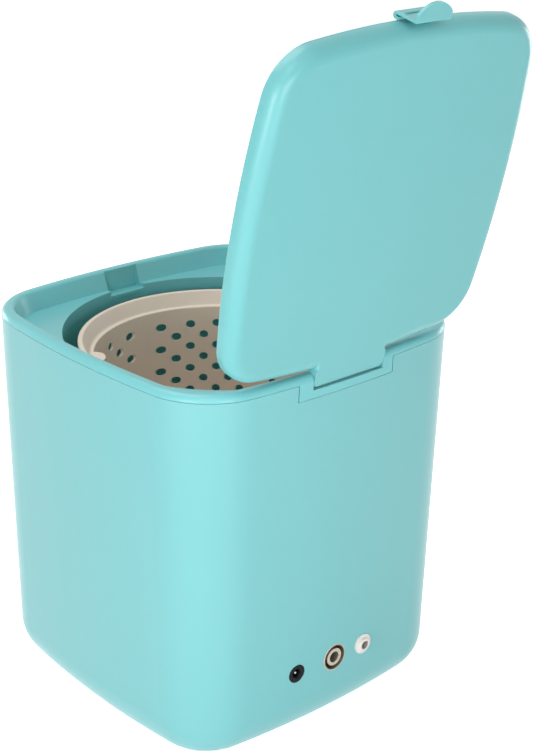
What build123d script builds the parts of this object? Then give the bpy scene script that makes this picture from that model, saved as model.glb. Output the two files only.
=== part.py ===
from build123d import *
import math
import os

# A small countertop tub washer, lid open. Millimetres, +Z up.
# The origin is on the floor under the middle of the casing.
# The front, where the lid latches, is -Y; the hinge and the ports are at +Y.

# Casing
height = 260.0
body_half = 120.0
side_draft = 0.02
side_radius = 671.0
corner_radius = 46.6
wall = 2.5
foot_height = 2.0
base_rounding = 28.0
rim_rounding = 4.4
seam_depth = 4.8

# Clearances
seam_gap = 0.3
moving_gap = 0.3
slip_gap = 0.1
fit_gap = 0.02
running_gap = 0.04
blind_end = 2.0

# Base opening, cover and feet
opening_half = 72.0
opening_corner = 12.0
lip_width = 6.0
lip_thickness = 2.4
lip_overlap = 4.0
base_boss_place = 62.0
base_boss_radius = 4.8
base_boss_length = 13.0
foot_place = 50.0
foot_radius = 8.0
foot_recess = 1.2
foot_rounding = 0.6
vent_width = 3.0
vent_length = 36.0
vent_pitch = 8.0
vent_count = 5

# Top frame: deck, recess for the lid, latch pocket and hinge
deck_depth = 13.0
deck_thickness = 2.2
tub_opening_radius = 104.3
collar_wall = 2.6
collar_depth = 11.0
recess_half_x = 107.2
recess_half_y = 109.05
recess_centre_y = 1.85
recess_corner = 31.8
recess_side = 628.0
rim_inner_half = 112.0
rim_inner_corner = 38.6
rim_inner_rounding = 2.4
skirt_thickness = 2.4
hollow_top_wall = 2.6
hollow_side_wall = 2.4
pocket_width = 28.0
pocket_back_y = -112.0
pocket_front_y = -103.0
pocket_depth = 16.0
pocket_wall = 2.0
hinge_y = 115.0
hinge_drop = 4.5
hinge_floor_drop = 10.4
notch_half = 29.3
notch_reach = 6.0
tongue_half = 38.7
tongue_centre_x = 1.1
tongue_side_gap = 0.8
tongue_drop = 15.5
ear_width = 8.5
pin_set_back = 0.5

# Lid and latch
lid_half_x = 106.4
lid_half_y = 107.2
lid_centre_y = 2.1
lid_side = 627.0
lid_corner = 31.0
lid_depth = 11.8
lid_rounding = 8.6
lid_wall = 2.4
lid_open_angle = 102.83
knuckle_half = 28.7
knuckle_end = 4.7
knuckle_reach = 16.0
knuckle_corner = 3.0
knuckle_rounding = 2.0
hinge_pin_radius = 1.5
liner_thickness = 2.0
liner_inset = 0.5
liner_panel_inset = 14.0
liner_panel_depth = 0.8
lid_boss_place = 78.0
lid_boss_radius = 3.6
latch_half = 13.0
latch_strip = 1.6
latch_root_length = 1.6
latch_gap = 0.45
latch_loop_width = 4.55
latch_loop_drop = 2.6
latch_tab_lift = 2.2
latch_tab_tip = 14.6
latch_tab_side = 5.0
latch_corner_rounding = 1.2
latch_ridge = 0.7
latch_ridge_end = 2.0

# Fixed tub
tub_wall = 2.2
tub_floor_height = 78.0
tub_floor = 2.5
tub_bottom_radius = 101.5
tub_corner = 14.0
tub_flange_width = 4.5
tub_flange = 2.5
gasket = 1.0
lug_place = 80.0
lug_radius = 6.0
frame_boss_radius = 5.0
tub_pad_radius = 38.0
tub_pad_height = 6.0
tub_pad_skin = 1.5

# Spin basket
ledge_radius = 85.2
ledge_height = 232.2
basket_rim_radius = 94.3
basket_rim_height = 241.5
basket_rim_drop = 2.8
basket_rim_under = 2.4
basket_rim_over = 0.2
basket_rim_inside = 3.0
basket_rim_rounding = 1.0
ledge_overhang = 1.4
ledge_rounding = 1.5
collar_root_drop = 3.0
collar_root_rounding = 2.0
basket_mouth_rounding = 0.8
basket_wall = 1.2
basket_top_radius = 84.2
basket_bottom_radius = 81.0
basket_floor = 2.2
cone_radius = 26.0
cone_top_radius = 15.5
cone_rounding = 3.0
cone_top_rounding = 2.0
basket_foot_rounding = 9.0
basket_inner_rounding = 7.5
fine_rounding = 0.2
hole_reach = 14.0
hole_diameter = 5.75
hole_pitch = 8.14
hole_row_pitch = 16.5
hole_top_height = 219.7
hole_columns = 8
hole_rows = 7
sector_count = 3
first_sector = 90.0
floor_ring_radii = (38.0, 50.0, 62.0)
floor_ring_pitch = 15.0
tab_width = 18.0
tab_reach = 8.2
tab_thickness = 2.2
tab_corner = 7.5
tab_root = 12.0
vane_height = 7.0
vane_width = 5.0
vane_start = 30.0
vane_end = 74.0
vane_flat = 0.3

# Shaft, bearings and belt drive
shaft_radius = 4.0
shaft_bottom = 8.0
shaft_stub_radius = 3.0
shaft_stub_length = 8.0
bearing_radius = 11.0
bearing_width = 7.0
seal_width = 5.0
seal_lip_wall = 1.5
seal_cup_floor = 2.0
seal_set_back = 1.0
bearing_ring = 2.1
bearing_groove = 0.6
housing_flange_radius = 36.0
housing_flange = 3.5
housing_radius = 15.0
housing_neck = 10.0
housing_length = 30.0
housing_bore = 8.0
flange_screw_place = 28.0
flange_screw_first = 30.0
flange_screws = 3
hub_collar_radius = 9.0
hub_flange_radius = 24.0
hub_flange = 3.0
hub_clear = 2.0
hub_collar_length = 22.0
nut_radius = 10.0
nut_length = 10.0
nut_rounding = 2.0
nut_notch_radius = 2.4
nut_notch_offset = 1.2
nut_notches = 6
pulley_width = 8.0
pulley_flange = 1.2
pulley_radius = 40.5
pulley_groove = 3.0
pulley_hub_radius = 9.0
pulley_hub_length = 18.0
pulley_bottom = 12.0
pulley_hole_place = 23.5
pulley_hole_radius = 6.5
pulley_holes = 6
pulley_nut_wall = 3.2
shaft_proud = 0.6
belt_width = 5.0
belt_thickness = 2.0
motor_pulley_radius = 12.0
belt_centres = 62.0
motor_direction = 225.0

# Motor and its bracket
motor_radius = 18.0
motor_length = 46.0
motor_wall = 1.2
motor_cap = 4.0
motor_cap_skin = 1.0
motor_shaft_end_gap = 0.5
motor_boss_radius = 5.5
motor_boss = 2.5
motor_shaft_radius = 1.6
terminal_place = 11.0
terminal_height = 2.0
terminal_width = 3.0
terminal_thickness = 1.0
armature_radius = 13.5
armature_length = 28.0
armature_slot_radius = 2.0
armature_slots = 5
bracket_thickness = 3.0
bracket_gap = 1.0
bracket_radius = 33.0
bracket_motor_radius = 20.0
bracket_hole = 12.0
bracket_arm_half = 16.0
post_place = 27.0
post_first = 90.0
posts = 3
post_spigot = 2.2
post_radius = 3.4

# Fasteners
screw_radius = 1.5
screw_head_radius = 2.8
screw_head = 1.8
screw_clear = 0.2
pilot_clear = 0.05
thread_length = 8.0

# Ports at the rear
port_height = 52.7
port_seat = 0.5
port_pad = 4.4
jack_x = 32.5
jack_flange_radius = 6.35
jack_radius = 5.4
jack_length = 13.0
jack_bore_radius = 2.9
jack_bore_depth = 9.5
jack_chamfer = 1.0
jack_pin_radius = 1.0
jack_pin_set_back = 1.5
jack_pin_rounding = 0.6
jack_tail = 3.0
drain_x = 0.3
drain_flange_radius = 9.5
drain_radius = 9.0
drain_recess_radius = 8.4
drain_recess_depth = 9.0
drain_tube_radius = 6.1
drain_bore_radius = 3.9
inlet_x = -25.4
inlet_flange_radius = 6.9
inlet_radius = 5.4
inlet_nozzle_radius = 4.6
inlet_nozzle = 3.0
inlet_proud = 1.0
inlet_rounding = 0.7
inlet_bore_radius = 3.0
port_proud = 0.3
port_rounding = 0.3
port_nut_width = 3.5
port_nut_length = 3.0
port_nut_step = 1.0
port_tail = 1.0
barb_length = 11.0
inlet_barb_length = 6.5
hose_wall = 1.3
drain_barb_radius = 5.0
inlet_barb_radius = 4.0
drain_spout_y = 72.0
drain_spout_length = 8.0
drain_spout_bore = 3.6
inlet_hose_place = 128.0
inlet_nipple_height = 222.0
inlet_nipple_end = 117.0
inlet_nipple_direction = 135.0
hose_bend = 11.0
inlet_hose_bend = 9.0
hose_end_gap = 2.0

# Button and control board at the front
button_height = 60.0
button_radius = 9.1
button_proud = 0.9
button_rounding = 0.6
button_travel = 0.8
button_flange_radius = 10.7
button_flange = 1.2
button_post_radius = 2.2
ring_radius = 12.0
ring_flange_radius = 14.0
ring_flange = 1.2
ring_proud = 0.3
board_width = 46.0
board_height = 26.0
board_thickness = 1.6
board_gap = 9.5
board_screw_place = 18.0
board_boss_wall = 1.6
board_part_margin = 3.0
relay_x = -4.0
relay_width = 14.0
relay_height = 10.0
relay_depth = 8.0
capacitor_x = 10.0
capacitor_z = 8.0
capacitor_radius = 4.0
capacitor_length = 11.0
chip_x = -4.0
chip_width = 10.0
chip_height = 6.0
chip_depth = 3.0
switch_size = 6.0
switch_height = 3.5
switch_tip = 0.8
switch_tip_radius = 1.75
lead_radius = 1.6
jack_lead_bend = 6.0
motor_lead_bend = 4.0

# Heights and places that follow from the sizes above
shell_bottom = foot_height
seam_height = height - seam_depth
deck_height = height - deck_depth
deck_bottom = deck_height - deck_thickness
collar_bottom = deck_height - collar_depth
hinge_height = height - hinge_drop
hinge_floor = height - hinge_floor_drop
tongue_bottom = height - tongue_drop
pocket_floor = height - pocket_depth
lid_bottom = height - lid_depth
liner_bottom = lid_bottom + liner_inset
tub_top = collar_bottom - gasket
tub_floor_top = tub_floor_height + tub_floor
pad_top = tub_floor_height + tub_pad_height
flange_bottom = tub_floor_height - housing_flange
neck_top = tub_floor_height + housing_neck
housing_bottom = flange_bottom - housing_length
hub_bottom = neck_top + hub_clear
hub_top = hub_bottom + hub_collar_length
shaft_top = hub_top + basket_floor + fit_gap
pulley_top = pulley_bottom + pulley_width
belt_bottom = pulley_bottom + (pulley_width - belt_width) / 2
bracket_bottom = pulley_top + bracket_gap
bracket_top = bracket_bottom + bracket_thickness
motor_top = bracket_top + motor_length
motor_x = belt_centres * math.cos(math.radians(motor_direction))
motor_y = belt_centres * math.sin(math.radians(motor_direction))
belt_inner = pulley_radius - pulley_groove + moving_gap
motor_belt_inner = motor_pulley_radius - pulley_groove + moving_gap
screw_hole = screw_radius + screw_clear
pilot_hole = screw_radius + pilot_clear
flush_hole = screw_head_radius + slip_gap


def block(x0, x1, y0, y1, z0, z1):
    """A box between two corners."""
    place = Pos((x0 + x1) / 2, (y0 + y1) / 2, (z0 + z1) / 2)
    return place * Box(x1 - x0, y1 - y0, z1 - z0)


def rod_x(radius, x0, x1, y, z):
    """A cylinder along X."""
    return Pos((x0 + x1) / 2, y, z) * Rot(0, 90, 0) * Cylinder(radius, x1 - x0)


def rod_y(radius, y0, y1, x, z):
    """A cylinder along Y."""
    return Pos(x, (y0 + y1) / 2, z) * Rot(90, 0, 0) * Cylinder(radius, y1 - y0)


def rod_z(radius, z0, z1, x=0.0, y=0.0):
    """A cylinder along Z."""
    return Pos(x, y, (z0 + z1) / 2) * Cylinder(radius, z1 - z0)


def ring_z(outer, inner, z0, z1, x=0.0, y=0.0):
    """A flat ring about a vertical axis."""
    return rod_z(outer, z0, z1, x, y) - rod_z(inner, z0 - 1, z1 + 1, x, y)


def rounded_plate(half, corner, z0, z1):
    """A square plate with round corners, centred on the origin."""
    face = RectangleRounded(2 * half, 2 * half, corner)
    return extrude(Pos(0, 0, z0) * face, amount=z1 - z0)


def around(count, first=0.0):
    """Equally spaced directions, in degrees."""
    return [first + 360.0 * index / count for index in range(count)]


def polar(radius, angle):
    """The X and Y of a point at a radius and an angle in degrees."""
    turn = math.radians(angle)
    return radius * math.cos(turn), radius * math.sin(turn)


def corners(place):
    """The four corner places of a square pattern."""
    return [(sx * place, sy * place) for sx in (-1, 1) for sy in (-1, 1)]


def outline(half_x, half_y, side, corner):
    """A rounded square whose four sides bow outward, as a face on XY."""
    lean_x = side - half_x
    lean_y = side - half_y
    reach = side - corner
    slope = lean_x / lean_y
    shift = (lean_x**2 - lean_y**2) / (2 * lean_y)
    a = 1 + slope**2
    b = 2 * slope * (shift + lean_y)
    c = (shift + lean_y) ** 2 - reach**2
    corner_x = (-b + math.sqrt(b * b - 4 * a * c)) / (2 * a)
    corner_y = slope * corner_x + shift
    long_x = math.hypot(corner_x, corner_y + lean_y)
    long_y = math.hypot(corner_x + lean_x, corner_y)
    top_x = side * corner_x / long_x
    top_y = side * (corner_y + lean_y) / long_x - lean_y
    right_x = side * (corner_x + lean_x) / long_y - lean_x
    right_y = side * corner_y / long_y
    middle_x = (top_x + right_x) / 2 - corner_x
    middle_y = (top_y + right_y) / 2 - corner_y
    stretch = corner / math.hypot(middle_x, middle_y)
    tip_x = corner_x + stretch * middle_x
    tip_y = corner_y + stretch * middle_y
    edges = [
        ThreePointArc((-top_x, top_y), (0, half_y), (top_x, top_y)),
        ThreePointArc((top_x, top_y), (tip_x, tip_y), (right_x, right_y)),
        ThreePointArc((right_x, right_y), (half_x, 0), (right_x, -right_y)),
        ThreePointArc((right_x, -right_y), (tip_x, -tip_y), (top_x, -top_y)),
        ThreePointArc((top_x, -top_y), (0, -half_y), (-top_x, -top_y)),
        ThreePointArc((-top_x, -top_y), (-tip_x, -tip_y), (-right_x, -right_y)),
        ThreePointArc((-right_x, -right_y), (-half_x, 0), (-right_x, right_y)),
        ThreePointArc((-right_x, right_y), (-tip_x, tip_y), (-top_x, top_y)),
    ]
    return make_face(edges)


def casing_form(inset, z_low, z_high):
    """The drafted casing shape, its faces an inset inside the outer surface."""
    shrink = (height - z_low) * side_draft + inset
    half = body_half - shrink
    face = outline(half, half, side_radius - shrink, corner_radius - shrink)
    draft = math.degrees(math.atan(side_draft))
    return extrude(Pos(0, 0, z_low) * face, amount=z_high - z_low, taper=-draft)


def casing_y(x, z, inset=0.0):
    """How far back the casing's surface lies at a place on the rear or front."""
    shrink = (height - z) * side_draft + inset
    radius = side_radius - shrink
    return body_half - shrink - radius + math.sqrt(radius**2 - x * x)


def level_edges(solid, z):
    """The edges that lie at one height."""
    return [e for e in solid.edges() if abs(e.bounding_box().min.Z - z) < 0.01
            and abs(e.bounding_box().max.Z - z) < 0.01]


def lid_turned(solid):
    """Swings a piece drawn with the lid shut to the open rest pose."""
    turn = Pos(0, hinge_y, hinge_height) * Rot(-lid_open_angle, 0, 0)
    return turn * Pos(0, -hinge_y, -hinge_height) * solid


def screw(x, y, z_head, length):
    """A pan-head screw driven upward; z_head is the face under its head."""
    head = rod_z(screw_head_radius, z_head - screw_head, z_head, x, y)
    return head + rod_z(screw_radius, z_head, z_head + length, x, y)


def flush_screw(x, y, z_head, length):
    """A countersunk screw driven upward; z_head is its flat face."""
    cone = Pos(x, y, z_head + screw_head / 2) * Cone(
        screw_head_radius, screw_radius, screw_head)
    return cone + rod_z(screw_radius, z_head + screw_head, z_head + length, x, y)


def sink_cone(x, y, z_face):
    """The cone that a countersunk screw's head sits in."""
    cone = Cone(flush_hole, screw_radius + slip_gap, screw_head)
    return Pos(x, y, z_face + screw_head / 2) * cone


def flush_sink(x, y, z_face, depth):
    """The hole that a countersunk screw passes through, with its head's cone."""
    return sink_cone(x, y, z_face) + rod_z(screw_hole, z_face - 1, z_face + depth + 1, x, y)


def port_seat_y(x):
    """The flat seat cut into the rear wall for a port."""
    return casing_y(x, port_height) - port_seat


def port_inner_y(x):
    """The flat inner face of the pad behind a port."""
    return port_seat_y(x) - port_pad


def port_back_y(x):
    """Where a fitting's body ends, just behind its nut, and its barb begins."""
    return port_inner_y(x) - port_nut_length - port_tail


ports = (
    (jack_x, jack_flange_radius, jack_radius),
    (drain_x, drain_flange_radius, drain_radius),
    (inlet_x, inlet_flange_radius, inlet_radius),
)


def outer_shell():
    """Moulded casing: side walls, floor with an opening, port pads."""
    top = seam_height - seam_gap
    shell = casing_form(0, shell_bottom, top)
    shell = fillet(level_edges(shell, shell_bottom), base_rounding)
    hollow = casing_form(wall, shell_bottom + wall, top + 1)
    hollow = fillet(level_edges(hollow, shell_bottom + wall), base_rounding - wall)
    shell -= hollow
    floor_top = shell_bottom + wall
    lip = rounded_plate(opening_half + lip_overlap, opening_corner + lip_overlap,
                        floor_top, floor_top + lip_thickness)
    shell += lip
    for x, y in corners(base_boss_place):
        shell += rod_z(base_boss_radius, floor_top, floor_top + base_boss_length, x, y)
    shell -= rounded_plate(opening_half, opening_corner, shell_bottom - 1, floor_top)
    inside = opening_half - lip_width
    mouth = rounded_plate(inside, opening_corner - lip_width / 2,
                          floor_top - 1, floor_top + lip_thickness + 1)
    for x, y in corners(base_boss_place):
        mouth -= rod_z(base_boss_radius, floor_top - 1, floor_top + base_boss_length, x, y)
    shell -= mouth
    for x, y in corners(base_boss_place):
        shell -= rod_z(pilot_hole, floor_top - 1, floor_top + base_boss_length - blind_end, x, y)
    for x, flange_radius, radius in ports:
        seat = port_seat_y(x)
        shell += rod_y(flange_radius + port_nut_width, seat - port_pad, seat - slip_gap, x,
                       port_height)
    for x, flange_radius, radius in ports:
        seat = port_seat_y(x)
        shell -= rod_y(flange_radius + slip_gap, seat, seat + wall, x, port_height)
        shell -= rod_y(radius + slip_gap, seat - port_pad - 1, seat + 1, x, port_height)
    front = -casing_y(0, button_height)
    shell -= rod_y(ring_radius + slip_gap, front - 1, front + wall + 1, 0, button_height)
    for x in (-board_screw_place, board_screw_place):
        wall_y = -casing_y(x, button_height, wall / 2)
        board_y = board_face_y()
        shell += rod_y(screw_radius + board_boss_wall, wall_y, board_y, x, button_height)
        shell -= rod_y(pilot_hole, wall_y + wall, board_y + 1, x, button_height)
    notch = tongue_half + tongue_side_gap
    shell -= block(tongue_centre_x - notch, tongue_centre_x + notch, recess_half_y, body_half + 1,
                   tongue_bottom - seam_gap, height)
    return shell


def board_face_y():
    """Where the control board's front face lies."""
    return -casing_y(0, button_height, wall) + board_gap


def base_cover():
    """Cover for the floor opening, with feet recesses, screw sinks and vents."""
    half = opening_half - seam_gap
    cover = rounded_plate(half, opening_corner - seam_gap, shell_bottom, shell_bottom + wall)
    for x, y in corners(foot_place):
        cover -= rod_z(foot_radius + slip_gap, shell_bottom - 1, shell_bottom + foot_recess, x, y)
    for x, y in corners(base_boss_place):
        cover -= flush_sink(x, y, shell_bottom, wall)
    for index in range(vent_count):
        x = (index - (vent_count - 1) / 2) * vent_pitch
        slot = SlotOverall(vent_length, vent_width, rotation=90)
        cover -= extrude(Pos(x, 0, shell_bottom - 1) * slot, amount=wall + 2)
    return cover


def base_screws():
    """Four countersunk screws that hold the base cover."""
    length = wall + thread_length
    places = corners(base_boss_place)
    return Compound(children=[flush_screw(x, y, shell_bottom, length) for x, y in places])


def foot(x, y):
    """One rubber foot, seated in its recess."""
    pad = rod_z(foot_radius, 0, foot_height + foot_recess, x, y)
    return fillet(level_edges(pad, 0), foot_rounding)


def recess_form():
    """The sloped recess in the top frame that the lid closes into."""
    low = outline(recess_half_x, recess_half_y, recess_side, recess_corner)
    high = outline(rim_inner_half, rim_inner_half, side_radius - body_half + rim_inner_half,
                   rim_inner_corner)
    faces = [Pos(0, recess_centre_y, deck_height) * low, Pos(0, 0, height) * high]
    return loft(faces, ruled=True)


def recess_back():
    """The recess form one wall thicker, for the hollow behind it."""
    extra = hollow_side_wall
    low = outline(recess_half_x + extra, recess_half_y + extra, recess_side + extra,
                  recess_corner + extra)
    high = outline(rim_inner_half + extra, rim_inner_half + extra,
                   side_radius - body_half + rim_inner_half + extra, rim_inner_corner + extra)
    faces = [Pos(0, recess_centre_y, deck_height) * low, Pos(0, 0, height) * high]
    below = extrude(Pos(0, recess_centre_y, collar_bottom) * low,
                    amount=deck_height - collar_bottom)
    return loft(faces, ruled=True) + below


def top_frame():
    """Rim, lid recess and deck in one moulding, with hinge ears and latch pocket."""
    rim = casing_form(0, seam_height, height)
    rim = fillet(level_edges(rim, height), rim_rounding)
    skirt_inset = wall + slip_gap
    skirt = casing_form(skirt_inset, deck_bottom, seam_height + 1)
    frame = rim + skirt
    tongue = casing_form(0, tongue_bottom, seam_height)
    frame += tongue & block(tongue_centre_x - tongue_half, tongue_centre_x + tongue_half,
                            hinge_y - 10, body_half + 1, tongue_bottom, seam_height + 1)
    frame -= recess_form()
    inside = rim_inner_half + 1
    rim_edge = [e for e in level_edges(frame, height) if e.bounding_box().max.X < inside
                and e.bounding_box().max.Y < inside and e.bounding_box().min.X > -inside]
    frame = fillet(rim_edge, rim_inner_rounding)
    hollow = casing_form(skirt_inset + skirt_thickness, deck_bottom - 1, height - hollow_top_wall)
    hollow -= recess_back()
    ear = notch_half + ear_width
    hollow -= block(-ear, ear, recess_half_y - 10, body_half + 1, tongue_bottom - 1, height)
    pocket_half = pocket_width / 2
    cheek = pocket_half + pocket_wall
    hollow -= block(-cheek, cheek, -body_half, pocket_front_y, deck_bottom - 1, height)
    frame -= hollow
    inner = tub_opening_radius
    frame += rod_z(inner + collar_wall, collar_bottom, deck_height)
    frame += block(-cheek, cheek, pocket_back_y - pocket_wall, pocket_front_y,
                   pocket_floor - pocket_wall, deck_height)
    opening = rod_z(inner, collar_bottom - 1, height)
    opening -= block(-pocket_half, pocket_half, -body_half, pocket_front_y,
                     pocket_floor - pocket_wall, pocket_floor)
    frame -= opening
    frame -= block(-pocket_half, pocket_half, pocket_back_y, pocket_front_y + 5, pocket_floor,
                   height + 1)
    frame -= block(-notch_half, notch_half, recess_half_y - notch_reach, body_half + 1,
                   hinge_floor, height + 1)
    for x, y in corners(lug_place):
        frame += rod_z(frame_boss_radius, tub_top, deck_height - slip_gap, x, y)
        frame -= rod_z(pilot_hole, tub_top - 1, tub_top + thread_length, x, y)
    frame -= rod_x(hinge_pin_radius + fit_gap, -ear - 1, ear + 1, hinge_y, hinge_height)
    return frame


def hinge_pin():
    """Steel pin through the frame's ears and the lid's knuckle."""
    half = notch_half + ear_width - pin_set_back
    return rod_x(hinge_pin_radius, -half, half, hinge_y, hinge_height)


def lid_outline(inset):
    """The lid's outline, an inset inside its edge."""
    face = outline(lid_half_x - inset, lid_half_y - inset, lid_side - inset, lid_corner - inset)
    return Pos(0, lid_centre_y, 0) * face


def lid_cover():
    """Outer lid moulding with its hinge tongue, drawn shut."""
    cover = extrude(Pos(0, 0, lid_bottom) * lid_outline(0), amount=lid_depth)
    cover = fillet(level_edges(cover, height), lid_rounding)
    inside = extrude(Pos(0, 0, lid_bottom - 1) * lid_outline(lid_wall),
                     amount=lid_depth + 1 - lid_wall)
    inside = fillet(level_edges(inside, height - lid_wall), lid_rounding - lid_wall)
    cover -= inside
    liner_top = liner_bottom + liner_thickness
    for x, y in corners(lid_boss_place):
        place_y = y + lid_centre_y
        cover += rod_z(lid_boss_radius, liner_top, height - lid_wall / 2, x, place_y)
        cover -= rod_z(pilot_hole, liner_top - 1, liner_top + lid_wall + blind_end, x, place_y)
        cover -= sink_cone(x, place_y, liner_bottom + liner_panel_depth)
    end = hinge_y + knuckle_end
    slab = block(-knuckle_half, knuckle_half, hinge_y - knuckle_reach, end, hinge_height, height)
    ends = slab.edges().filter_by(Axis.Z).group_by(Axis.Y)[-1]
    slab = fillet(ends, knuckle_corner)
    top = [e for e in level_edges(slab, height) if e.bounding_box().max.Y > hinge_y]
    slab = fillet(top, knuckle_rounding)
    barrel = rod_x(hinge_drop, -knuckle_half, knuckle_half, hinge_y, hinge_height)
    neck = block(-knuckle_half, knuckle_half, lid_centre_y + lid_half_y - lid_wall, hinge_y,
                 hinge_height - hinge_drop / 2, height)
    cover += slab + barrel + neck
    cover -= rod_x(hinge_pin_radius + running_gap, -knuckle_half - 1, knuckle_half + 1,
                   hinge_y, hinge_height)
    return cover


def lid_liner():
    """Inner panel that closes the lid's underside, drawn shut."""
    gap = lid_wall + slip_gap
    liner = extrude(Pos(0, 0, liner_bottom) * lid_outline(gap), amount=liner_thickness)
    liner -= extrude(Pos(0, 0, liner_bottom - 1) * lid_outline(gap + liner_panel_inset),
                     amount=liner_panel_depth + 1)
    for x, y in corners(lid_boss_place):
        liner -= flush_sink(x, y + lid_centre_y, liner_bottom + liner_panel_depth, liner_thickness)
    return liner


def lid_screws():
    """Four countersunk screws that hold the liner, drawn shut."""
    face = liner_bottom + liner_panel_depth
    length = lid_wall + liner_thickness
    return Compound(children=[
        flush_screw(x, y + lid_centre_y, face, length) for x, y in corners(lid_boss_place)])


def latch_pivot():
    """The Y and Z about which the latch strip flexes, with the lid shut."""
    front = lid_centre_y - lid_half_y
    half = latch_loop_width / 2
    return front - half - latch_gap, lid_bottom - latch_loop_drop + half


def lid_latch():
    """Bent spring strip with a half-round finger tab, drawn shut."""
    pivot_y, pivot_z = latch_pivot()
    outer = latch_loop_width / 2
    inner = outer - latch_strip
    wide = 2 * latch_half
    turn = Pos(0, pivot_y, pivot_z) * Rot(0, 90, 0)
    loop = turn * (Cylinder(outer, wide) - Cylinder(inner, wide + 2))
    loop -= block(-latch_half - 1, latch_half + 1, pivot_y - outer - 1, pivot_y + outer + 1,
                  pivot_z, pivot_z + outer + 1)
    root = block(-latch_half, latch_half, pivot_y + inner, pivot_y + outer,
                 pivot_z, pivot_z + latch_root_length)
    tab_bottom = height + latch_tab_lift
    tab_top = tab_bottom + latch_strip
    arm = block(-latch_half, latch_half, pivot_y - outer, pivot_y - inner, pivot_z, tab_top)
    ridge_half = latch_half - latch_ridge_end
    ridge = rod_x(latch_ridge, -ridge_half, ridge_half, pivot_y - outer, pivot_z + latch_loop_width)
    root_y = pivot_y - inner
    side_y = root_y - latch_tab_side
    tip_y = lid_centre_y - lid_half_y - latch_tab_tip
    edges = [
        Line((-latch_half, root_y), (-latch_half, side_y)),
        ThreePointArc((-latch_half, side_y), (0, tip_y), (latch_half, side_y)),
        Line((latch_half, side_y), (latch_half, root_y)),
        Line((latch_half, root_y), (-latch_half, root_y)),
    ]
    tab = extrude(Pos(0, 0, tab_bottom) * make_face(edges), amount=latch_strip)
    strip = arm + tab
    bend = [e for e in level_edges(strip, tab_top) if e.bounding_box().min.Y > root_y - 0.01]
    return fillet(bend, latch_corner_rounding) + loop + root + ridge


def wash_tub():
    """Fixed tub hung from the frame, with drain spout and inlet nipple."""
    inner = tub_opening_radius + slip_gap
    outer = inner + tub_wall
    tall = tub_top - tub_floor_height
    form = Pos(0, 0, tub_floor_height + tall / 2) * Cone(tub_bottom_radius, outer, tall)
    form = fillet(level_edges(form, tub_floor_height), tub_corner)
    deep = tub_top - tub_floor_top
    inside = Pos(0, 0, tub_floor_top + deep / 2) * Cone(tub_bottom_radius - tub_wall, inner, deep)
    inside = fillet(level_edges(inside, tub_floor_top), tub_corner - tub_wall)
    tub = form + rod_z(outer + tub_flange_width, tub_top - tub_flange, tub_top)
    for x, y in corners(lug_place):
        tub += rod_z(lug_radius, tub_top - tub_flange, tub_top, x, y)
    nipple_low = inner - tub_wall
    nipple = rod_x(inlet_barb_radius, nipple_low, inlet_nipple_end, 0, inlet_nipple_height)
    turn = Rot(0, 0, inlet_nipple_direction)
    tub += turn * nipple
    tub -= inside
    tub -= turn * rod_x(inlet_bore_radius, nipple_low - 20, inlet_nipple_end + 1, 0,
                        inlet_nipple_height)
    tub += rod_z(tub_pad_radius, tub_floor_height, pad_top)
    tub -= rod_z(housing_radius + slip_gap, tub_floor_height - 1, pad_top + 1)
    for x, y in flange_screw_places():
        tub -= rod_z(pilot_hole, tub_floor_height - 1, pad_top - tub_pad_skin, x, y)
    for x, y in corners(lug_place):
        tub -= rod_z(screw_hole, tub_top - tub_flange - 1, tub_top + 1, x, y)
    spout_low = tub_floor_height - drain_spout_length
    tub += rod_z(drain_barb_radius, spout_low, tub_floor_height + 1, drain_x, drain_spout_y)
    tub -= rod_z(drain_spout_bore, spout_low - 1, tub_floor_top + 5, drain_x, drain_spout_y)
    return tub


def tub_gasket():
    """Rubber ring between tub flange and deck collar."""
    inner = tub_opening_radius + slip_gap
    return ring_z(inner + collar_wall, inner + slip_gap, tub_top, collar_bottom)


def tub_screws():
    """Four screws through the tub's lugs into the frame."""
    head = tub_top - tub_flange
    return Compound(children=[
        screw(x, y, head, tub_flange + thread_length - 1) for x, y in corners(lug_place)])


def flange_screw_places():
    """The screws through the housing's flange into the tub."""
    return [polar(flange_screw_place, angle) for angle in around(flange_screws, flange_screw_first)]


def bracket_post_places():
    """The posts between the housing's flange and the bracket."""
    return [polar(post_place, angle) for angle in around(posts, post_first)]


def bearing_housing():
    """Flanged housing under the tub that carries both bearings and the seal."""
    body = rod_z(housing_flange_radius, flange_bottom, tub_floor_height)
    body += rod_z(housing_radius, housing_bottom, neck_top)
    body -= rod_z(housing_bore, housing_bottom - 1, neck_top + 1)
    seat = bearing_radius + fit_gap
    body -= rod_z(seat, upper_bearing_bottom(), neck_top + 1)
    body -= rod_z(seat, housing_bottom - 1, housing_bottom + bearing_width)
    for x, y in flange_screw_places():
        body -= rod_z(screw_hole, flange_bottom - 1, tub_floor_height + 1, x, y)
    for x, y in bracket_post_places():
        body -= rod_z(pilot_hole, flange_bottom - 1, flange_bottom + post_spigot + moving_gap, x, y)
    return body


def upper_bearing_bottom():
    """The upper bearing's seat, below the seal."""
    return neck_top - seal_set_back - seal_width - bearing_width


def housing_screws():
    """Three screws that hold the bearing housing to the tub."""
    length = housing_flange + tub_pad_height - tub_pad_skin - 1
    return Compound(children=[
        screw(x, y, flange_bottom, length) for x, y in flange_screw_places()])


def bearing(z_low):
    """A ball bearing, with grooves that mark its two rings."""
    z_high = z_low + bearing_width
    body = ring_z(bearing_radius, shaft_radius + running_gap, z_low, z_high)
    inner = shaft_radius + bearing_ring
    outer = bearing_radius - bearing_ring
    body -= ring_z(outer, inner, z_low - 1, z_low + bearing_groove)
    body -= ring_z(outer, inner, z_high - bearing_groove, z_high + 1)
    return body


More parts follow.
